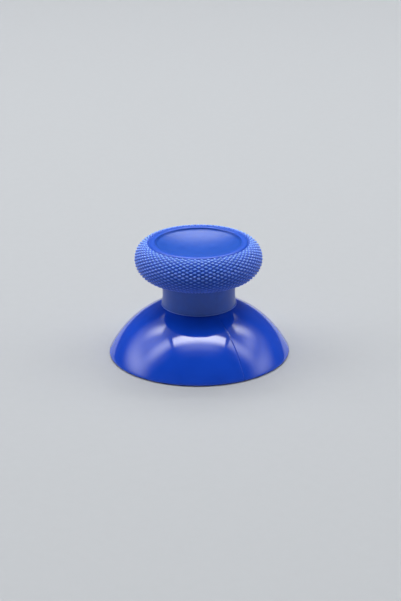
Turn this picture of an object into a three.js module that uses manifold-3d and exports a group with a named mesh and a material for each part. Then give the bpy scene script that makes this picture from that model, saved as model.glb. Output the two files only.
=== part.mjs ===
// Controller thumb grip. A hard dome and stem carry a soft cap that is moulded over them.
// The cap has a smooth dished top, a diamond-knurled rim and a neck that stands on the dome.
// Millimetres, +Z up. The origin is the centre of the dome's rim, on which the part stands.
import * as THREE from 'three';
import * as BufferGeometryUtils from 'three/addons/utils/BufferGeometryUtils.js';
import Module from 'manifold-3d';

// Dome
const DOME_RIM_RADIUS = 12.85;
const DOME_HEIGHT = 8.07;
const DOME_WALL = 1.1;
const RIM_EDGE_RADIUS = 0.3;

// Hub under the dome, with the socket for a control shaft that has two flats
const HUB_RECESS = 0.9;
const HUB_WALL = 1.05;
const HUB_FILLET = 0.5;
const SOCKET_DIAMETER = 4.1;
const SOCKET_ACROSS_FLATS = 3.1;
const SOCKET_DEPTH = 6.3;
const SOCKET_LEAD_IN = 0.3;

// Neck of the soft cap
const NECK_RADIUS = 5.08;
const NECK_LENGTH = 4.22;
const NECK_FILLET = 0.45;
const FOOT_FLARE = 0.22;
const FOOT_FLARE_HEIGHT = 1.5;
const FOOT_EDGE_RADIUS = 0.3;

// Cap, measured over the knurl's points
const CAP_RADIUS = 8.92;
const CAP_LOWER_HEIGHT = 2.65;
const CAP_UPPER_HEIGHT = 2.33;
const CAP_SHOULDER = 1.98;
const CAP_LAND = 0.85;

// Smooth ring and dish on top
const GROOVE_WIDTH = 0.16;
const GROOVE_DEPTH = 0.12;
const RING_WIDTH = 0.8;
const RING_CROWN = 0.2;
const RING_EDGE_RADIUS = 0.22;
const DISH_STEP = 0.42;
const DISH_FILLET = 0.25;
const DISH_DEPTH = 0.95;

// Knurl: points round the rim, rows from the groove to the underside, height of a point
const KNURL_POINTS = 52;
const KNURL_ROWS = 28;
const KNURL_HEIGHT = 0.2;

// Soft wall over the hard core, and the bond line between the two
const SKIN_RIM = 1.6;
const SKIN_NECK = 1.68;
const SKIN_TOP = 1.15;
const SKIN_UNDERSIDE = 1.1;
const CORE_FILLET = 0.5;
const BOND_LINE = 0.05;

// Facets
const FINE_COLUMNS = 2 * KNURL_POINTS;
const PLAIN_COLUMNS = KNURL_POINTS;
const DOME_STEPS = 9;
const HOLLOW_STEPS = 6;
const DISH_STEPS = 5;
const EDGE_STEPS = 2;
const FILLET_STEPS = 3;
const SOCKET_ARC_STEPS = 8;

// The dome is a spherical cap
const domeRadius = (DOME_RIM_RADIUS ** 2 + DOME_HEIGHT ** 2) / (2 * DOME_HEIGHT);
const domeCentre = DOME_HEIGHT - domeRadius;
const domeSurface = (radius) => domeCentre + Math.sqrt(domeRadius ** 2 - radius ** 2);

// Heights up the axis, each seated on the one before
const footRadius = NECK_RADIUS + FOOT_FLARE;
const footHeight = domeSurface(footRadius);
const underside = footHeight + NECK_LENGTH;
const equator = underside + CAP_LOWER_HEIGHT;
const capTop = equator + CAP_UPPER_HEIGHT;
const dishEdge = capTop + RING_CROWN - DISH_STEP;
const dishCentre = dishEdge - DISH_DEPTH;

// Radii across the cap, each set in from the one before
const shoulderRadius = CAP_RADIUS - CAP_SHOULDER;
const ringOuterRadius = shoulderRadius - GROOVE_WIDTH;
const ringInnerRadius = ringOuterRadius - RING_WIDTH;
const dishRadius = ringInnerRadius - RING_EDGE_RADIUS / 2;
const landRadius = NECK_RADIUS + NECK_FILLET + CAP_LAND;

// The hard core lies inside the soft cap by the soft wall
const stemRadius = NECK_RADIUS - SKIN_NECK;
const headRadius = CAP_RADIUS - SKIN_RIM;
const headTop = dishCentre - SKIN_TOP;
const headBottom = underside + SKIN_UNDERSIDE;

const socketRadius = SOCKET_DIAMETER / 2;
const hubRadius = socketRadius + HUB_WALL;

const point = (radius, height) => new THREE.Vector2(radius, height);

// Points along an elliptical arc of a section, in degrees, with 0 outward and 90 up
function arc(centre, radiusOut, radiusUp, from, to, steps) {
  const start = THREE.MathUtils.degToRad(from);
  const end = THREE.MathUtils.degToRad(to);
  const curve = new THREE.EllipseCurve(centre.x, centre.y, radiusOut, radiusUp, start, end, to < from);
  return curve.getPoints(steps);
}

// Points along a soft corner between two stretches of a section
function corner(from, through, to, steps) {
  return new THREE.QuadraticBezierCurve(from, through, to).getPoints(steps);
}

// One ring of a revolved surface: a single vertex on the axis, else one vertex for each column
function ring({ x: radius, y: height }, columns) {
  if (radius < 1e-6) {
    return [new THREE.Vector3(0, 0, height)];
  }
  const turn = (2 * Math.PI) / columns;
  return Array.from({ length: columns }, (_, column) =>
    new THREE.Vector3(radius * Math.cos(column * turn), radius * Math.sin(column * turn), height));
}

const rings = (points, columns) => points.map((sectionPoint) => ring(sectionPoint, columns));

// The band of triangles between two rings, where one may have twice the columns of the other
// or be a single vertex. Each square splits from its upper left to its lower right corner,
// unless leans says that it splits the other way.
function band(upper, lower, leans) {
  const faces = [];
  const columns = Math.max(upper.length, lower.length);
  const at = (vertices, column) => {
    const share = Math.floor((column * vertices.length) / columns);
    return vertices[share % vertices.length];
  };
  for (let column = 0; column < columns; column += 1) {
    const upperLeft = at(upper, column);
    const lowerLeft = at(lower, column);
    const upperRight = at(upper, column + 1);
    const lowerRight = at(lower, column + 1);
    if (leans(column)) {
      faces.push([upperLeft, lowerLeft, upperRight], [upperRight, lowerLeft, lowerRight]);
    } else {
      faces.push([upperLeft, lowerLeft, lowerRight], [upperLeft, lowerRight, upperRight]);
    }
  }
  return faces.filter(([a, b, c]) => a !== b && b !== c && c !== a);
}

// A closed body from its rings, listed from the vertex on the axis at the top, along the
// outside, to the vertex on the axis that ends the section
function revolved(ringList, splitsOf = () => () => false) {
  const positions = [];
  for (let row = 0; row + 1 < ringList.length; row += 1) {
    for (const face of band(ringList[row], ringList[row + 1], splitsOf(row))) {
      for (const vertex of face) {
        positions.push(vertex.x, vertex.y, vertex.z);
      }
    }
  }
  const geometry = new THREE.BufferGeometry();
  geometry.setAttribute('position', new THREE.Float32BufferAttribute(positions, 3));
  return BufferGeometryUtils.mergeVertices(geometry, 1e-5);
}

// Section of the hard core from the head's centre down to the dome under the cap's foot.
// The soft cap's pocket is the same section grown by the bond line.
function coreSection(growth) {
  const head = headRadius + growth;
  const top = headTop + growth;
  const bottom = headBottom - growth;
  const stem = stemRadius + growth;
  const edge = (top - bottom) / 2;
  const surface = (radius) => domeSurface(radius) + growth;
  const root = stem + CORE_FILLET;
  return [
    point(0, top),
    ...arc(point(head - edge, bottom + edge), edge, edge, 90, -90, 2 * EDGE_STEPS),
    ...corner(point(root, bottom), point(stem, bottom), point(stem, bottom - CORE_FILLET), EDGE_STEPS),
    ...corner(point(stem, surface(stem) + CORE_FILLET), point(stem, surface(stem)),
      point(root, surface(root)), EDGE_STEPS),
  ];
}

// Section of the dome's outside, from just under the cap's foot to the rounded rim
function domeOutside() {
  const start = Math.asin((stemRadius + CORE_FILLET) / domeRadius);
  const end = Math.asin((DOME_RIM_RADIUS - RIM_EDGE_RADIUS / 4) / domeRadius);
  const fromDegrees = 90 - THREE.MathUtils.radToDeg(start);
  const toDegrees = 90 - THREE.MathUtils.radToDeg(end);
  const outside = arc(point(0, domeCentre), domeRadius, domeRadius, fromDegrees, toDegrees, DOME_STEPS);
  const rimEdge = corner(outside.at(-1), point(DOME_RIM_RADIUS, 0),
    point(DOME_RIM_RADIUS - RIM_EDGE_RADIUS, 0), EDGE_STEPS);
  return [...outside.slice(1), ...rimEdge.slice(1)];
}

// Section of the hollow under the dome and of the hub, from the rim to the hub's centre
function domeInside() {
  const radius = domeRadius - DOME_WALL;
  const surface = (out) => domeCentre + Math.sqrt(radius ** 2 - out ** 2);
  const fromDegrees = THREE.MathUtils.radToDeg(Math.asin(-domeCentre / radius));
  const root = hubRadius + HUB_FILLET;
  const toDegrees = 90 - THREE.MathUtils.radToDeg(Math.asin(root / radius));
  return [
    ...arc(point(0, domeCentre), radius, radius, fromDegrees, toDegrees, HOLLOW_STEPS),
    ...corner(point(root, surface(root)), point(hubRadius, surface(hubRadius)),
      point(hubRadius, surface(hubRadius) - HUB_FILLET), EDGE_STEPS).slice(1),
    point(hubRadius, HUB_RECESS),
    point(0, HUB_RECESS),
  ];
}

// Outline across the socket or its lead-in: a circle cut by two flats
function flattedOutline(radius, acrossFlats) {
  const flatAngle = Math.asin(acrossFlats / 2 / radius);
  const outline = new THREE.Shape();
  outline.absarc(0, 0, radius, -flatAngle, flatAngle, false);
  outline.absarc(0, 0, radius, Math.PI - flatAngle, Math.PI + flatAngle, false);
  outline.closePath();
  return outline;
}

const { Manifold, Mesh } = await (async () => {
  const wasm = await Module();
  wasm.setup();
  return wasm;
})();

// A closed geometry as a solid that can be cut
function solid(geometry) {
  const bare = geometry.clone();
  bare.deleteAttribute('normal');
  bare.deleteAttribute('uv');
  const merged = BufferGeometryUtils.mergeVertices(bare, 1e-5);
  return new Manifold(new Mesh({
    numProp: 3,
    vertProperties: new Float32Array(merged.attributes.position.array),
    triVerts: new Uint32Array(merged.index.array),
  }));
}

// The faces of a cut solid as a geometry
function faces(cutSolid) {
  const { vertProperties, triVerts } = cutSolid.getMesh();
  const geometry = new THREE.BufferGeometry();
  geometry.setAttribute('position', new THREE.BufferAttribute(vertProperties, 3));
  geometry.setIndex(new THREE.BufferAttribute(triVerts, 1));
  return geometry;
}

// The blind socket, open at the hub's end, with a tapered lead-in at its mouth
function socketCutter() {
  const overrun = SOCKET_LEAD_IN;
  const bore = new THREE.ExtrudeGeometry(flattedOutline(socketRadius, SOCKET_ACROSS_FLATS), {
    depth: SOCKET_DEPTH + overrun,
    bevelEnabled: false,
    curveSegments: SOCKET_ARC_STEPS,
  });
  bore.translate(0, 0, HUB_RECESS - overrun);
  const mouth = new THREE.ExtrudeGeometry(flattedOutline(socketRadius, SOCKET_ACROSS_FLATS), {
    depth: overrun,
    bevelEnabled: true,
    bevelThickness: SOCKET_LEAD_IN,
    bevelSize: SOCKET_LEAD_IN,
    bevelSegments: 1,
    curveSegments: SOCKET_ARC_STEPS,
  });
  mouth.translate(0, 0, HUB_RECESS - overrun);
  return solid(bore).add(solid(mouth));
}

// Hard moulding: head, stem, dome and hub, with the socket cut into the hub
function domeStemGeometry() {
  const core = rings(coreSection(0), PLAIN_COLUMNS);
  const outside = rings(domeOutside(), FINE_COLUMNS);
  const inside = rings(domeInside(), PLAIN_COLUMNS);
  return faces(solid(revolved([...core, ...outside, ...inside])).subtract(socketCutter()));
}

// Rows of knurl vertices from the groove, round the rim, to the underside. Every other vertex
// of a row is a point that stands on the base section, and the next row is half a pitch on.
function knurlRows() {
  const base = new THREE.Path();
  const upperReach = CAP_RADIUS - KNURL_HEIGHT - shoulderRadius;
  const lowerReach = CAP_RADIUS - KNURL_HEIGHT - landRadius;
  const quarter = Math.PI / 2;
  base.absellipse(shoulderRadius, equator, upperReach, CAP_UPPER_HEIGHT - KNURL_HEIGHT, quarter, 0, true, 0);
  base.absellipse(landRadius, equator, lowerReach, CAP_LOWER_HEIGHT - KNURL_HEIGHT, 0, -quarter, true, 0);
  const halfPitch = Math.PI / KNURL_POINTS;
  const rows = [];
  for (let row = 0; row <= KNURL_ROWS; row += 1) {
    const along = row / KNURL_ROWS;
    const foot = base.getPointAt(along);
    const tangent = base.getTangentAt(along);
    const atEnd = row === 0 || row === KNURL_ROWS;
    const vertices = Array.from({ length: FINE_COLUMNS }, (_, column) => {
      const raised = !atEnd && (row + column) % 2 === 0 ? KNURL_HEIGHT : 0;
      const radius = foot.x - tangent.y * raised;
      const height = foot.y + tangent.x * raised;
      const angle = column * halfPitch;
      return new THREE.Vector3(radius * Math.cos(angle), radius * Math.sin(angle), height);
    });
    rows.push(vertices);
  }
  return rows;
}

// Section of the dish, the filleted step at its edge, the crowned ring and the groove
function topSection() {
  const dishSphere = (dishRadius ** 2 + DISH_DEPTH ** 2) / (2 * DISH_DEPTH);
  const dishSpan = THREE.MathUtils.radToDeg(Math.asin(dishRadius / dishSphere));
  const ringTop = capTop + RING_CROWN;
  const groove = capTop - KNURL_HEIGHT;
  const dish = arc(point(0, dishCentre + dishSphere), dishSphere, dishSphere, -90, -90 + dishSpan, DISH_STEPS);
  const filletRadius = dishRadius - DISH_FILLET;
  const filletHeight = dishCentre + dishSphere - Math.sqrt(dishSphere ** 2 - filletRadius ** 2);
  return [
    ...dish.slice(0, -1),
    ...corner(point(filletRadius, filletHeight), dish.at(-1), point(dishRadius, dishEdge + DISH_FILLET / 2),
      EDGE_STEPS),
    ...corner(point(ringInnerRadius - RING_EDGE_RADIUS / 4, ringTop - RING_EDGE_RADIUS),
      point(ringInnerRadius, ringTop), point(ringInnerRadius + RING_EDGE_RADIUS, ringTop), EDGE_STEPS),
    ...corner(point(ringOuterRadius - RING_WIDTH / 2, ringTop), point(ringOuterRadius, ringTop),
      point(ringOuterRadius, groove + GROOVE_DEPTH), EDGE_STEPS),
    point(ringOuterRadius, groove),
  ];
}

// Section of the underside, the neck and its flared foot
function neckSection() {
  const lip = footRadius - FOOT_EDGE_RADIUS;
  const edgeTop = footHeight + FOOT_EDGE_RADIUS;
  return [
    ...corner(point(NECK_RADIUS + NECK_FILLET, underside + KNURL_HEIGHT),
      point(NECK_RADIUS, underside + KNURL_HEIGHT),
      point(NECK_RADIUS, underside + KNURL_HEIGHT - NECK_FILLET), FILLET_STEPS),
    ...corner(point(NECK_RADIUS, edgeTop + FOOT_FLARE_HEIGHT),
      point(NECK_RADIUS, edgeTop + FOOT_FLARE_HEIGHT / 2), point(footRadius, edgeTop), FILLET_STEPS),
    ...corner(point(footRadius, edgeTop), point(footRadius, domeSurface(lip) + BOND_LINE),
      point(lip, domeSurface(lip) + BOND_LINE), EDGE_STEPS).slice(1),
  ];
}

// Soft moulding: the dished top, the knurled rim, the neck and the pocket that holds the core
function softGripGeometry() {
  const top = rings(topSection(), PLAIN_COLUMNS);
  const knurl = knurlRows();
  const neck = rings(neckSection(), PLAIN_COLUMNS);
  const pocket = rings(coreSection(BOND_LINE).reverse(), PLAIN_COLUMNS);
  const knurlStart = top.length;
  const splitsOf = (row) => (column) => (row - knurlStart + column) % 2 === 0;
  const plain = () => false;
  const inKnurl = (row) => row >= knurlStart && row < knurlStart + KNURL_ROWS;
  return revolved([...top, ...knurl, ...neck, ...pocket], (row) => (inKnurl(row) ? splitsOf(row) : plain));
}

function plastic(color, roughness) {
  return new THREE.MeshStandardMaterial({ color, roughness, metalness: 0 });
}

const domeStem = new THREE.Mesh(domeStemGeometry(), plastic(0x123fae, 0.18));
domeStem.name = 'dome_stem';

const softGrip = new THREE.Mesh(softGripGeometry(), plastic(0x2a55c0, 0.6));
softGrip.name = 'soft_grip';

const thumbGrip = new THREE.Group();
thumbGrip.add(domeStem, softGrip);

export default thumbGrip;
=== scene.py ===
"""Looks of the controller thumb grip: fine meshes, materials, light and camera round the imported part."""
import math

import bmesh
import bpy
import numpy as np
from mathutils import Matrix, Vector


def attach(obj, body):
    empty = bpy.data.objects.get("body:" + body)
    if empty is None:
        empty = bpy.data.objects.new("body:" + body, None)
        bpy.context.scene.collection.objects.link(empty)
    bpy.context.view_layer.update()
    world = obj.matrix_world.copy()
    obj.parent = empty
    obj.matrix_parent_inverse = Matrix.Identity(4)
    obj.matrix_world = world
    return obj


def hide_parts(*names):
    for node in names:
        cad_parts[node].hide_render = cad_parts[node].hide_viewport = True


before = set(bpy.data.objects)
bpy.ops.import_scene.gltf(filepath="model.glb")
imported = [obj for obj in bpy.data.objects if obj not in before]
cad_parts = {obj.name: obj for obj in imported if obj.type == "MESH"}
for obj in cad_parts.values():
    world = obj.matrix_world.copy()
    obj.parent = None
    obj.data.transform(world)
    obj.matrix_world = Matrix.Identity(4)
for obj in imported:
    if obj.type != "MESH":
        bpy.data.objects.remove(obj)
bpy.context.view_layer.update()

MM = 0.001

# Sizes of the hard moulding, in millimetres
DOME_RIM_RADIUS = 12.85
DOME_HEIGHT = 8.07
DOME_WALL = 1.1
RIM_EDGE_RADIUS = 0.3
RIM_ROUND_HEIGHT = 0.38
RIM_ROUND_WIDTH = 0.75
HUB_RECESS = 0.9
HUB_WALL = 1.05
HUB_FILLET = 0.5
HUB_EDGE_RADIUS = 0.1
SOCKET_DIAMETER = 4.1
SOCKET_ACROSS_FLATS = 3.1
SOCKET_DEPTH = 6.3
SOCKET_LEAD_IN = 0.3

# Sizes of the soft moulding, in millimetres
NECK_RADIUS = 5.08
NECK_LENGTH = 4.22
NECK_FILLET = 0.45
FOOT_FLARE = 0.22
FOOT_FLARE_HEIGHT = 1.5
FOOT_EDGE_RADIUS = 0.3
FOOT_LIP = 0.1
CAP_RADIUS = 8.92
CAP_LOWER_HEIGHT = 2.65
CAP_UPPER_HEIGHT = 2.33
CAP_SHOULDER = 1.98
CAP_LAND = 0.85
GROOVE_WIDTH = 0.14
GROOVE_DROP = 0.1
RING_WIDTH = 0.8
RING_CROWN = 0.1
RING_SHOULDER = 0.3
RING_EDGE_RADIUS = 0.22
DISH_STEP = 0.34
DISH_FILLET = 0.25
DISH_DEPTH = 0.95
KNURL_POINTS = 52
KNURL_ROWS = 28
KNURL_HEIGHT = 0.2
SKIN_RIM = 1.6
SKIN_NECK = 1.68
SKIN_TOP = 1.15
SKIN_UNDERSIDE = 1.1
CORE_FILLET = 0.5
BOND_LINE = 0.05

# The parting line of the mould on the dome: a meridian, seen right of centre in the photo
PARTING_AZIMUTH = 29.0
PARTING_WIDTH = 0.14
PARTING_DEPTH = 0.045

# Columns set close together across the parting line, as shares of half its width
PARTING_SHARES = (-1.5, -1, -0.5, 0, 0.5, 1, 1.5)

# Shape of one point of the knurl: how square it is, the share of the pitch that its flat top reaches
# from its centre, the curve of its flanks, and the rows over which the knurl rises at its two ends
KNURL_SQUARENESS = 4
KNURL_LAND = 0.16
KNURL_FLANK = 1.15
KNURL_FADE_ROWS = 0.5

# Painted light, which makes the soft moulding paler where light falls on it. On the knurl it is a painted
# sheen spread widest in the upper rows, which face the light from above, gathers as painted highlights on
# the tops of the points in the lower ones, and loses a share of its strength on the way down.
PAINTED_LIGHT = "painted_light"
PAINTED_LIGHT_LOSS = 0.5
PAINTED_LIGHT_SPREAD = 0.15
PAINTED_LIGHT_GATHER = 1.4
RING_PAINTED_SHEEN = 0.2
FOOT_PAINTED_HIGHLIGHT = 0.65

# Mesh resolution: columns and steps of the dome, facets along each half pitch of the knurl, steps of
# the socket's two arcs
DOME_COLUMNS = 240
DOME_STEPS = 56
KNURL_FACETS = 6
SOCKET_ARC_STEPS = 20

# The angle from which an edge is shaded sharp, and the width in millimetres under which a face is a sliver
SHARP_DEGREES = 40
SLIVER = 0.001

# Studio: a round paper floor with a swept-up edge, and how far the lamps are, in metres
PAPER_COLOUR = (0.422, 0.438, 0.458)
FLOOR_MIDDLE = 0.1
FLOOR_RADIUS = 0.9
FLOOR_SWEEP = 0.3
FLOOR_WALL = 0.8
LAMP_DISTANCE = 0.6

# Camera, fitted to the photo: metres, degrees, and pixels of its frame
AIM = Vector((0, 0, 8 * MM))
CAMERA_DISTANCE = 250 * MM
CAMERA_ELEVATION = 21.4
CAMERA_ROLL = -0.49
FOCAL_PIXELS = 1784.9
FRAME_WIDTH = 401
FRAME_HEIGHT = 601
AIM_PIXEL = (198.87, 297.5)

dome_radius = (DOME_RIM_RADIUS ** 2 + DOME_HEIGHT ** 2) / (2 * DOME_HEIGHT)
dome_centre = DOME_HEIGHT - dome_radius
foot_radius = NECK_RADIUS + FOOT_FLARE


def dome_surface(radius):
    """Height of the dome's outside at a distance from the axis."""
    return dome_centre + math.sqrt(dome_radius ** 2 - radius ** 2)


foot_height = dome_surface(foot_radius)
underside = foot_height + NECK_LENGTH
equator = underside + CAP_LOWER_HEIGHT
cap_top = equator + CAP_UPPER_HEIGHT
dish_edge = cap_top + RING_CROWN - DISH_STEP
dish_centre = dish_edge - DISH_DEPTH
shoulder_radius = CAP_RADIUS - CAP_SHOULDER
ring_outer_radius = shoulder_radius - GROOVE_WIDTH
ring_inner_radius = ring_outer_radius - RING_WIDTH
dish_radius = ring_inner_radius - RING_EDGE_RADIUS / 2
land_radius = NECK_RADIUS + NECK_FILLET + CAP_LAND
stem_radius = NECK_RADIUS - SKIN_NECK
hub_radius = SOCKET_DIAMETER / 2 + HUB_WALL


def arc(centre, out, up, start, end, steps):
    """Points along an elliptical arc of a section, in degrees, with 0 outward and 90 up."""
    angles = np.radians(np.linspace(start, end, steps + 1))
    return [(centre[0] + out * math.cos(a), centre[1] + up * math.sin(a)) for a in angles]


def corner(start, through, end, steps):
    """Points along a soft corner between two stretches of a section."""
    shares = np.linspace(0, 1, steps + 1)
    a, b, c = np.array(start), np.array(through), np.array(end)
    return [tuple((1 - t) ** 2 * a + 2 * t * (1 - t) * b + t * t * c) for t in shares]


def line(start, end, steps):
    """Points along a straight stretch of a section."""
    a, b = np.array(start), np.array(end)
    return [tuple(a + (b - a) * t) for t in np.linspace(0, 1, steps + 1)]


def core_section(growth):
    """The hard core from the head's centre to the dome under the cap's foot, grown by a gap."""
    head = CAP_RADIUS - SKIN_RIM + growth
    top = dish_centre - SKIN_TOP + growth
    bottom = underside + SKIN_UNDERSIDE - growth
    stem = stem_radius + growth
    edge = (top - bottom) / 2
    root = stem + CORE_FILLET
    root_height = dome_surface(root) + growth
    stem_height = dome_surface(stem) + growth
    return (
        [(0, top)]
        + arc((head - edge, bottom + edge), edge, edge, 90, -90, 8)
        + corner((root, bottom), (stem, bottom), (stem, bottom - CORE_FILLET), 4)
        + corner((stem, stem_height + CORE_FILLET), (stem, stem_height), (root, root_height), 4)
    )


def dome_outside():
    """The dome's outside, from just under the cap's foot to the inner end of the rim's rounding."""
    start = math.asin((stem_radius + CORE_FILLET) / dome_radius)
    end = math.acos((RIM_ROUND_HEIGHT - dome_centre) / dome_radius)
    outside = arc((0, dome_centre), dome_radius, dome_radius,
                  90 - math.degrees(start), 90 - math.degrees(end), DOME_STEPS)
    rim_edge = corner(outside[-1], (DOME_RIM_RADIUS, 0), (DOME_RIM_RADIUS - RIM_ROUND_WIDTH, 0), 10)
    return outside[1:] + rim_edge[1:]


def dome_inside():
    """The flat rim, the hollow under the dome and the hub, to the hub's centre."""
    radius = dome_radius - DOME_WALL
    mouth = math.sqrt(radius ** 2 - dome_centre ** 2)
    root = hub_radius + HUB_FILLET
    root_height = dome_centre + math.sqrt(radius ** 2 - root ** 2)
    hub_height = dome_centre + math.sqrt(radius ** 2 - hub_radius ** 2)
    start = math.degrees(math.asin(-dome_centre / radius))
    end = 90 - math.degrees(math.asin(root / radius))
    edge = HUB_EDGE_RADIUS
    return (
        [(mouth + RIM_EDGE_RADIUS, 0)]
        + corner((mouth + RIM_EDGE_RADIUS / 2, 0), (mouth, 0),
                 (mouth - RIM_EDGE_RADIUS / 4, RIM_EDGE_RADIUS / 2), 3)
        + arc((0, dome_centre), radius, radius, start, end, DOME_STEPS)[2:]
        + corner((root, root_height), (hub_radius, hub_height),
                 (hub_radius, hub_height - HUB_FILLET), 6)[1:]
        + line((hub_radius, hub_height - 1.2 * HUB_FILLET), (hub_radius, HUB_RECESS + 2 * edge), 4)
        + corner((hub_radius, HUB_RECESS + edge), (hub_radius, HUB_RECESS),
                 (hub_radius - edge, HUB_RECESS), 4)
        + [(hub_radius - 2 * edge, HUB_RECESS), (0, HUB_RECESS)]
    )


def top_section():
    """The dish, the filleted step at its edge, the crowned ring and the groove."""
    sphere = (dish_radius ** 2 + DISH_DEPTH ** 2) / (2 * DISH_DEPTH)
    span = math.degrees(math.asin(dish_radius / sphere))
    ring_top = cap_top + RING_CROWN
    groove = cap_top - GROOVE_DROP
    edge = RING_EDGE_RADIUS
    dish = arc((0, dish_centre + sphere), sphere, sphere, -90, -90 + span, 26)
    fillet_start = [point for point in dish if point[0] < dish_radius - DISH_FILLET]
    fillet_end = (dish_radius, dish_edge + DISH_FILLET / 2)
    return (
        fillet_start
        + corner(fillet_start[-1], dish[-1], fillet_end, 8)[1:]
        + corner((ring_inner_radius - edge / 4, ring_top - edge), (ring_inner_radius, ring_top),
                 (ring_inner_radius + edge, ring_top), 7)
        + corner((ring_outer_radius - RING_SHOULDER, ring_top), (ring_outer_radius, ring_top),
                 (ring_outer_radius + GROOVE_WIDTH / 2, groove), 10)
    )


def neck_section():
    """The underside, the neck and its flared foot with a rounded edge."""
    land = underside + KNURL_HEIGHT
    lip = foot_radius - FOOT_EDGE_RADIUS
    lip_height = dome_surface(lip) + BOND_LINE
    edge_top = foot_height + FOOT_EDGE_RADIUS
    return (
        line((land_radius - 0.2 * CAP_LAND, land), (NECK_RADIUS + 1.3 * NECK_FILLET, land), 2)
        + corner((NECK_RADIUS + NECK_FILLET, land), (NECK_RADIUS, land),
                 (NECK_RADIUS, land - NECK_FILLET), 8)
        + line((NECK_RADIUS, land - 1.4 * NECK_FILLET),
               (NECK_RADIUS, edge_top + 1.2 * FOOT_FLARE_HEIGHT), 3)
        + corner((NECK_RADIUS, edge_top + FOOT_FLARE_HEIGHT),
                 (NECK_RADIUS, edge_top + FOOT_FLARE_HEIGHT / 2),
                 (foot_radius - FOOT_LIP, edge_top), 10)
        + corner((foot_radius - FOOT_LIP / 2, edge_top), (foot_radius, edge_top),
                 (foot_radius, edge_top - FOOT_LIP), 5)
        + corner((foot_radius, lip_height + FOOT_LIP), (foot_radius, lip_height), (lip, lip_height), 6)
    )


def knurl_base(share):
    """A point and the outward direction on the rim's base section, by its share of the length."""
    out = CAP_RADIUS - KNURL_HEIGHT
    upper = (shoulder_radius, out - shoulder_radius, CAP_UPPER_HEIGHT - GROOVE_DROP)
    lower = (land_radius, out - land_radius, CAP_LOWER_HEIGHT - KNURL_HEIGHT)
    turns = np.radians(np.linspace(90, -90, 721))
    reach = [upper if turn >= 0 else lower for turn in turns]
    points = np.array([(c + r * math.cos(t), equator + h * math.sin(t))
                       for (c, r, h), t in zip(reach, turns)])
    normals = np.array([(h * math.cos(t), r * math.sin(t)) for (c, r, h), t in zip(reach, turns)])
    normals /= np.linalg.norm(normals, axis=1)[:, None]
    along = np.concatenate([[0], np.cumsum(np.linalg.norm(np.diff(points, axis=0), axis=1))])
    at = np.asarray(share) * along[-1]
    point = [np.interp(at, along, points[:, axis]) for axis in (0, 1)]
    normal = [np.interp(at, along, normals[:, axis]) for axis in (0, 1)]
    return np.stack(point, -1), np.stack(normal, -1)


def knurl_height(columns, row):
    """Height of the knurl at lattice places. Its points lie where row and column add to an even number."""
    lean_right = (columns + row) / 2
    lean_left = (columns - row) / 2
    right = np.abs(lean_right - np.round(lean_right))
    left = np.abs(lean_left - np.round(lean_left))
    side = (right ** KNURL_SQUARENESS + left ** KNURL_SQUARENESS) ** (1 / KNURL_SQUARENESS)
    rise = np.clip((0.5 - side) / (0.5 - KNURL_LAND), 0, 1) ** KNURL_FLANK
    fade = np.clip(min(row, KNURL_ROWS - row) / KNURL_FADE_ROWS, 0, 1)
    return KNURL_HEIGHT * fade * rise


def knurl_rings():
    """Rings of the knurled rim, each turned by half a facet from the one above, and each vertex's share of
    painted light.

    The painted light, a painted sheen with painted highlights on the points, starts at nothing beside the
    groove and is full from the first row on.
    """
    levels = KNURL_ROWS * KNURL_FACETS
    points, normals = knurl_base(np.arange(levels + 1) / levels)
    rings = []
    painted_light_share = []
    for level in range(levels + 1):
        row = level / KNURL_FACETS
        columns = (2 * np.arange(KNURL_POINTS * KNURL_FACETS) + level % 2) / KNURL_FACETS
        angles = columns * math.pi / KNURL_POINTS
        raised = knurl_height(columns, row)
        # Painted light: the upper rows are painted paler for the light from above, and the tops of the
        # points are painted paler as highlights.
        down = row / KNURL_ROWS
        spread_out = PAINTED_LIGHT_SPREAD + PAINTED_LIGHT_GATHER * down
        painted_light_share.append((raised / KNURL_HEIGHT) ** spread_out * (1 - PAINTED_LIGHT_LOSS * down) * min(row, 1))
        radius = points[level, 0] + normals[level, 0] * raised
        height = points[level, 1] + normals[level, 1] * raised
        rings.append(np.stack([radius * np.cos(angles), radius * np.sin(angles), height], 1))
    return rings, np.concatenate(painted_light_share)


def ring(point, angles):
    """One ring of a revolved surface, in millimetres: a single vertex on the axis."""
    radius, height = point
    if radius < 1e-6:
        return np.array([[0.0, 0.0, height]])
    return np.stack([radius * np.cos(angles), radius * np.sin(angles), np.full(len(angles), height)], 1)


def joined_faces(rings, start=0):
    """Faces through rings that have the same columns or a single vertex, from vertex start on."""
    faces = []
    for upper, lower in zip(rings, rings[1:]):
        below = start + len(upper)
        columns = max(len(upper), len(lower))
        for column in range(columns):
            after = (column + 1) % columns
            face = [
                start + (column if len(upper) > 1 else 0),
                below + (column if len(lower) > 1 else 0),
                below + (after if len(lower) > 1 else 0),
                start + (after if len(upper) > 1 else 0),
            ]
            faces.append(tuple(dict.fromkeys(face)))
        start = below
    return faces


def staggered_faces(rings, start):
    """Diamond faces through rings that are each turned by half a facet, closed at both ends."""
    count = len(rings[0])
    last = len(rings) - 1
    faces = []
    for level in range(last + 1):
        here = start + level * count
        for column in range(count):
            after = (column + 1) % count
            before = (column - 1) % count
            left, right = (before, column) if level % 2 == 0 else (column, after)
            if level == 0:
                faces.append((here + column, here + count + column, here + after))
            if level <= last - 2:
                faces.append((here + column, here + count + left,
                              here + 2 * count + column, here + count + right))
            if level == last - 1:
                faces.append((here + column, here + count + left, here + count + right))
    return faces


def mesh_from(name, vertices, faces):
    """A smooth shaded mesh in metres from vertices in millimetres."""
    mesh = bpy.data.meshes.new(name)
    mesh.from_pydata((np.asarray(vertices) * MM).tolist(), [], faces)
    mesh.shade_smooth()
    return mesh


def link(name, mesh):
    """An object of the mesh, put in the scene."""
    piece = bpy.data.objects.new(name, mesh)
    bpy.context.scene.collection.objects.link(piece)
    return piece


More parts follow.
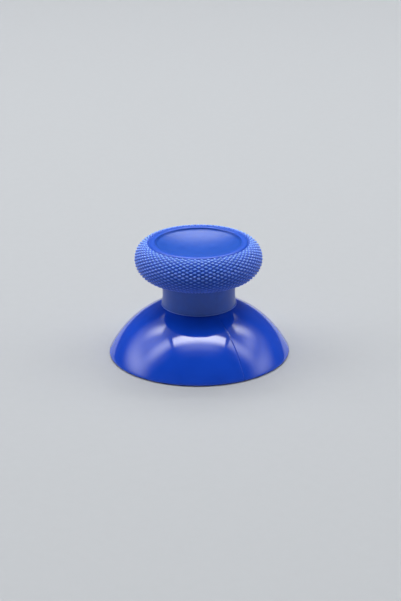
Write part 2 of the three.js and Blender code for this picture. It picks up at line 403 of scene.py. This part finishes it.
def stand_for(piece, node, material):
    """The piece shows in place of a node, rides on the one body and takes its finish from a slot."""
    piece.data.materials.clear()
    piece.data.materials.append(material)
    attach(piece, "root")
    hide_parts(node)


# Hard moulding

def without_slivers(mesh):
    """The mesh after a cut, with doubled points joined and slivers dissolved."""
    cleaned = bmesh.new()
    cleaned.from_mesh(mesh)
    bmesh.ops.remove_doubles(cleaned, verts=cleaned.verts, dist=SLIVER * MM)
    bmesh.ops.dissolve_degenerate(cleaned, dist=SLIVER * MM, edges=cleaned.edges)
    cleaned.to_mesh(mesh)
    cleaned.free()
    return mesh


def parting_angles(radius):
    """Column angles of a ring, with a narrow set of columns on each side of the parting line."""
    even = np.radians(np.arange(0, 360, 360 / DOME_COLUMNS))
    lines = np.radians([PARTING_AZIMUTH - 90, PARTING_AZIMUTH + 90])
    reach = np.radians(360 / DOME_COLUMNS)
    half = PARTING_WIDTH / 2 / max(radius, stem_radius)
    kept = [a for a in even if all(abs(math.remainder(a - c, 2 * math.pi)) > reach for c in lines)]
    added = [c + share * half for c in lines for share in PARTING_SHARES]
    return np.array(sorted([a % (2 * math.pi) for a in kept + added]))


def with_parting_groove(points, angles):
    """A ring of the dome's outside, sunk along the parting line but not below the rim."""
    lines = np.radians([PARTING_AZIMUTH - 90, PARTING_AZIMUTH + 90])
    radius = np.linalg.norm(points[0, :2])
    half = PARTING_WIDTH / 2 / radius
    depth = np.zeros(len(angles))
    for parting in lines:
        off = np.abs(np.array([math.remainder(a - parting, 2 * math.pi) for a in angles])) / half
        depth += PARTING_DEPTH * np.clip(1 - off, 0, 1)
    outward = points - np.array([0, 0, dome_centre])
    outward /= np.linalg.norm(outward, axis=1)[:, None]
    sunk = points - outward * depth[:, None]
    sunk[:, 2] = np.maximum(sunk[:, 2], 0)
    return sunk


def socket_outline(growth):
    """Outline across the socket: a circle cut by two flats, grown by its lead-in."""
    radius = SOCKET_DIAMETER / 2 + growth
    flat = math.asin((SOCKET_ACROSS_FLATS / 2 + growth) / radius)
    side = np.linspace(-flat, flat, SOCKET_ARC_STEPS + 1)
    turns = np.concatenate([side, side + math.pi])
    return np.stack([radius * np.cos(turns), radius * np.sin(turns)], 1)


def socket_cutter():
    """The solid that cuts the socket and its tapered mouth out of the hub."""
    levels = [
        (HUB_RECESS + SOCKET_DEPTH, 0),
        (HUB_RECESS + SOCKET_LEAD_IN, 0),
        (HUB_RECESS - SOCKET_LEAD_IN, 2 * SOCKET_LEAD_IN),
    ]
    rings = [np.column_stack([socket_outline(growth), np.full(2 * SOCKET_ARC_STEPS + 2, height)])
             for height, growth in levels]
    top_centre = np.array([[0, 0, levels[0][0]]])
    low_centre = np.array([[0, 0, levels[-1][0]]])
    stack = [top_centre, *rings, low_centre]
    return link("socket_cutter", mesh_from("socket_cutter", np.concatenate(stack), joined_faces(stack)))


def make_dome_stem(material):
    """The hard moulding: a revolved blank with its parting line, and the socket cut out of its hub."""
    core = [ring(point, parting_angles(point[0])) for point in core_section(0)]
    outside = []
    for point in dome_outside():
        angles = parting_angles(point[0])
        outside.append(with_parting_groove(ring(point, angles), angles))
    inside = [ring(point, parting_angles(point[0])) for point in dome_inside()]
    rings = [*core, *outside, *inside]
    blank = link("dome_blank", mesh_from("dome_blank", np.concatenate(rings), joined_faces(rings)))
    cutter = socket_cutter()
    cut = blank.modifiers.new("socket", "BOOLEAN")
    cut.operation = "DIFFERENCE"
    cut.solver = "EXACT"
    cut.object = cutter
    evaluated = blank.evaluated_get(bpy.context.evaluated_depsgraph_get())
    mesh = without_slivers(bpy.data.meshes.new_from_object(evaluated))
    for spare in (cutter, blank):
        bpy.data.objects.remove(spare)
    mesh.shade_smooth()
    mesh.set_sharp_from_angle(angle=math.radians(SHARP_DEGREES))
    piece = link("dome_shell", mesh)
    stand_for(piece, "dome_stem", material)


# Soft moulding

def make_soft_grip(material):
    """The soft moulding over the core, with the painted light of each vertex as an attribute."""
    angles = np.arange(KNURL_POINTS * KNURL_FACETS) * 2 * math.pi / (KNURL_POINTS * KNURL_FACETS)
    top = [ring(point, angles) for point in top_section()]
    knurl, painted_light_share = knurl_rings()
    rest = [ring(point, angles) for point in neck_section() + core_section(BOND_LINE)[::-1]]
    knurl_start = sum(len(r) for r in top)
    rest_start = knurl_start + (len(knurl) - 1) * len(angles)
    vertices = np.concatenate([*top, *knurl, *rest])
    faces = (joined_faces([*top, knurl[0]])
             + staggered_faces(knurl, knurl_start)
             + joined_faces([knurl[-1], *rest], rest_start))
    mesh = mesh_from("grip_skin", vertices, faces)
    shares = np.zeros(len(vertices))
    # Painted sheen: the ring's top is painted paler for the light it catches.
    on_ring = (vertices[:, 2] > cap_top) & (np.arange(len(vertices)) < knurl_start)
    shares[on_ring] = RING_PAINTED_SHEEN
    from_axis = np.hypot(vertices[:, 0], vertices[:, 1])
    # Painted highlight: the foot's lip is painted paler for the light line along its edge.
    on_lip = (from_axis > foot_radius - FOOT_LIP) & (vertices[:, 2] < underside)
    shares[on_lip] = FOOT_PAINTED_HIGHLIGHT
    shares[knurl_start:knurl_start + len(painted_light_share)] = painted_light_share
    mesh.attributes.new(PAINTED_LIGHT, "FLOAT", "POINT").data.foreach_set("value", shares)
    mesh.set_sharp_from_angle(angle=math.radians(SHARP_DEGREES))
    stand_for(link("grip_skin", mesh), "soft_grip", material)


# Materials

def node_material(name):
    """A new material with its node tree, its shader and its texture coordinates."""
    material = bpy.data.materials.new(name)
    material.use_nodes = True
    nodes, links = material.node_tree.nodes, material.node_tree.links
    return material, nodes, links, nodes["Principled BSDF"], nodes.new("ShaderNodeTexCoord")


def noise(nodes, links, coordinates, scale, detail, roughness=0.5):
    """A noise texture in the object's own metres; scale is in cycles per metre."""
    texture = nodes.new("ShaderNodeTexNoise")
    texture.inputs["Scale"].default_value = scale
    texture.inputs["Detail"].default_value = detail
    texture.inputs["Roughness"].default_value = roughness
    links.new(coordinates.outputs["Object"], texture.inputs["Vector"])
    return texture.outputs["Fac"]


def blend_colours(nodes, links, factor, dark, light, low=0.35, high=0.65):
    """A colour between two, by a factor."""
    ramp = nodes.new("ShaderNodeValToRGB")
    ramp.color_ramp.elements[0].position = low
    ramp.color_ramp.elements[1].position = high
    ramp.color_ramp.elements[0].color = (*dark, 1)
    ramp.color_ramp.elements[1].color = (*light, 1)
    links.new(factor, ramp.inputs["Fac"])
    return ramp.outputs["Color"]


def spread(nodes, links, factor, low, high):
    """A number between two, by a factor."""
    ranged = nodes.new("ShaderNodeMapRange")
    ranged.inputs["From Min"].default_value = 0.3
    ranged.inputs["From Max"].default_value = 0.7
    ranged.inputs["To Min"].default_value = low
    ranged.inputs["To Max"].default_value = high
    links.new(factor, ranged.inputs["Value"])
    return ranged.outputs["Result"]


def bump(nodes, links, height, strength, depth, below=None):
    """A bump of a depth in millimetres, on top of another one if given."""
    node = nodes.new("ShaderNodeBump")
    node.inputs["Strength"].default_value = strength
    node.inputs["Distance"].default_value = depth * MM
    links.new(height, node.inputs["Height"])
    if below is not None:
        links.new(below, node.inputs["Normal"])
    return node.outputs["Normal"]


def gloss_plastic():
    """Polished blue moulding: faint flow marks in its colour, a slight waviness in its gloss."""
    material, nodes, links, shader, place = node_material("blue_gloss_plastic")
    flow = noise(nodes, links, place, 260, 3)
    colour = blend_colours(nodes, links, flow, (0.004, 0.064, 0.62), (0.006, 0.074, 0.68))
    links.new(colour, shader.inputs["Base Color"])
    smear = noise(nodes, links, place, 420, 4, 0.6)
    links.new(spread(nodes, links, smear, 0.045, 0.075), shader.inputs["Roughness"])
    wave = bump(nodes, links, noise(nodes, links, place, 300, 2), 0.3, 0.008)
    links.new(wave, shader.inputs["Normal"])
    shader.inputs["IOR"].default_value = 1.5
    shader.inputs["Specular IOR Level"].default_value = 0.85
    return material


def soft_touch():
    """Satin soft-touch rubber: fine grain, faint mottling, and painted light by vertex: a paler knurl with
    painted highlights on its points.
    """
    material, nodes, links, shader, place = node_material("blue_soft_touch")
    mottle = noise(nodes, links, place, 900, 4, 0.6)
    plain = blend_colours(nodes, links, mottle, (0.004, 0.073, 0.47), (0.006, 0.086, 0.525))
    # Painted light: pale colours for sheen and highlights, mixed in by each vertex's share of painted
    # light.
    painted_light_share = nodes.new("ShaderNodeAttribute")
    painted_light_share.attribute_name = PAINTED_LIGHT
    colour = nodes.new("ShaderNodeMix")
    colour.data_type = "RGBA"
    painted_light = blend_colours(nodes, links, painted_light_share.outputs["Fac"], (0.04, 0.13, 1), (0.27, 0.49, 1), 0.42, 0.92)
    links.new(painted_light, colour.inputs["B"])
    links.new(painted_light_share.outputs["Fac"], colour.inputs["Factor"])
    links.new(plain, colour.inputs["A"])
    links.new(colour.outputs["Result"], shader.inputs["Base Color"])
    links.new(spread(nodes, links, mottle, 0.3, 0.37), shader.inputs["Roughness"])
    grain = bump(nodes, links, noise(nodes, links, place, 9000, 3, 0.65), 0.35, 0.012)
    links.new(grain, shader.inputs["Normal"])
    shader.inputs["IOR"].default_value = 1.5
    shader.inputs["Specular IOR Level"].default_value = 0.5
    shader.inputs["Sheen Weight"].default_value = 0.1
    shader.inputs["Sheen Roughness"].default_value = 0.3
    shader.inputs["Sheen Tint"].default_value = (0.75, 0.87, 1, 1)
    return material


def paper():
    """Pale studio paper of the floor and its rising edge."""
    material, nodes, links, shader, place = node_material("studio_paper")
    tooth = noise(nodes, links, place, 700, 3)
    colour = blend_colours(nodes, links, tooth, PAPER_COLOUR, [c * 1.01 for c in PAPER_COLOUR])
    links.new(colour, shader.inputs["Base Color"])
    shader.inputs["Roughness"].default_value = 0.9
    shader.inputs["Specular IOR Level"].default_value = 0.2
    return material


# Studio

def make_floor():
    """A round sheet of paper whose edge sweeps up all round."""
    section = [(0, 0), (FLOOR_MIDDLE, 0), (FLOOR_RADIUS, 0)]
    section += arc((FLOOR_RADIUS, FLOOR_SWEEP), FLOOR_SWEEP, FLOOR_SWEEP, -90, 0, 16)[1:]
    section += [(FLOOR_RADIUS + FLOOR_SWEEP, FLOOR_SWEEP + FLOOR_WALL)]
    angles = np.radians(np.arange(0, 360, 4))
    rings = [ring((radius, height), angles) for radius, height in section]
    faces = [face[::-1] for face in joined_faces(rings)]
    mesh = mesh_from("studio_floor", np.concatenate(rings) / MM, faces)
    mesh.materials.append(paper())
    link("studio_floor", mesh)


def fade_edges(lamp, fades):
    """Lets a rectangular lamp fade over shares of its size: from its left, right, lower and upper edge."""
    lamp.use_nodes = True
    nodes, links = lamp.node_tree.nodes, lamp.node_tree.links
    place = nodes.new("ShaderNodeNewGeometry")
    axes = nodes.new("ShaderNodeSeparateXYZ")
    links.new(place.outputs["Parametric"], axes.inputs["Vector"])
    left, right, low, high = fades
    strength = None
    for axis, dark, lit in (("X", 0, left), ("X", 1, 1 - right), ("Y", 0, low), ("Y", 1, 1 - high)):
        ranged = nodes.new("ShaderNodeMapRange")
        ranged.interpolation_type = "SMOOTHSTEP"
        ranged.inputs["From Min"].default_value = dark
        ranged.inputs["From Max"].default_value = lit
        links.new(axes.outputs[axis], ranged.inputs["Value"])
        if strength is None:
            strength = ranged.outputs["Result"]
            continue
        both = nodes.new("ShaderNodeMath")
        both.operation = "MULTIPLY"
        links.new(strength, both.inputs[0])
        links.new(ranged.outputs["Result"], both.inputs[1])
        strength = both.outputs["Value"]
    links.new(strength, nodes["Emission"].inputs["Strength"])


def softbox(name, azimuth, elevation, wide, tall, radiance, fades):
    """A soft-edged lamp that faces the part. Its place and size are angles seen from the part, in degrees.

    Azimuth 0 is the camera's side and 90 is the right.
    """
    turn, rise = math.radians(azimuth - 90), math.radians(elevation)
    direction = Vector((math.cos(turn) * math.cos(rise), math.sin(turn) * math.cos(rise), math.sin(rise)))
    lamp = bpy.data.lights.new(name, "AREA")
    lamp.shape = "RECTANGLE"
    lamp.size = 2 * LAMP_DISTANCE * math.tan(math.radians(wide) / 2)
    lamp.size_y = 2 * LAMP_DISTANCE * math.tan(math.radians(tall) / 2)
    lamp.energy = radiance * math.pi * lamp.size * lamp.size_y
    fade_edges(lamp, fades)
    holder = bpy.data.objects.new(name, lamp)
    bpy.context.scene.collection.objects.link(holder)
    holder.location = AIM + direction * LAMP_DISTANCE
    holder.rotation_euler = direction.to_track_quat("Z", "Y").to_euler()
    holder.visible_camera = False


def make_lights():
    """A light box: two strips across its pale ceiling, and the walls that they brighten."""
    even = (0.4, 0.4, 0.4, 0.4)
    blurred = (0.5, 0.5, 0.5, 0.5)
    softbox("strip", 0, 83.6, 53.5, 16.6, 7.2, (0.03, 0.03, 0.55, 0.19))
    softbox("strip_halo", 0, 82, 62, 34, 1.9, even)
    softbox("front_fill", 0, 68, 56, 20, 0.25, even)
    softbox("back_strip", 180, 63, 48, 7.5, 11.0, (0.03, 0.03, 0.25, 0.25))
    softbox("back_wall", 180, 50, 60, 20, 5.5, even)
    softbox("ceiling", 180, 80, 60, 60, 0.4, even)
    softbox("wall_left", -103, 39, 68, 60, 1.3, even)
    softbox("wall_left_low", -95, 21, 60, 30, 1.6, blurred)
    softbox("wall_right", 103, 40, 66, 58, 0.7, even)
    softbox("wall_right_middle", 104, 41, 46, 22, 1.1, blurred)
    softbox("wall_right_low", 92, 20, 54, 28, 1.3, blurred)
    for side, front in ((-1, 3.3), (1, 2.9)):
        softbox("wall_front_gleam", side * 83, 40.5, 21, 41, front, (0.5, 0.5, 1, 0.04))
        softbox("wall_back_gleam", side * 121, 43, 19, 25, 4.0, (0.5, 0.5, 0.9, 0.15))
    world = bpy.data.worlds.new("studio")
    world.use_nodes = True
    dim = world.node_tree.nodes["Background"]
    dim.inputs["Color"].default_value = (*PAPER_COLOUR, 1)
    dim.inputs["Strength"].default_value = 0.1
    bpy.context.scene.world = world


def make_camera():
    """The photograph's view: its angle, distance, small roll and where the part lies in the frame."""
    rise = math.radians(CAMERA_ELEVATION)
    back = Vector((0, -math.cos(rise), math.sin(rise)))
    lens = bpy.data.cameras.new("photo_view")
    lens.sensor_width = 36
    lens.lens = FOCAL_PIXELS * lens.sensor_width / FRAME_HEIGHT
    lens.clip_start = 0.01
    lens.clip_end = 10
    lens.shift_x = (FRAME_WIDTH / 2 - AIM_PIXEL[0]) / FRAME_HEIGHT
    lens.shift_y = (AIM_PIXEL[1] - FRAME_HEIGHT / 2) / FRAME_HEIGHT
    camera = bpy.data.objects.new("photo_view", lens)
    bpy.context.scene.collection.objects.link(camera)
    camera.location = AIM + back * CAMERA_DISTANCE
    roll = Matrix.Rotation(math.radians(CAMERA_ROLL), 4, "Z")
    camera.rotation_euler = (back.to_track_quat("Z", "Y").to_matrix().to_4x4() @ roll).to_euler()
    bpy.context.scene.camera = camera


make_camera()
make_lights()
make_floor()
make_dome_stem(gloss_plastic())
make_soft_grip(soft_touch())
bpy.context.scene.view_settings.view_transform = "Standard"
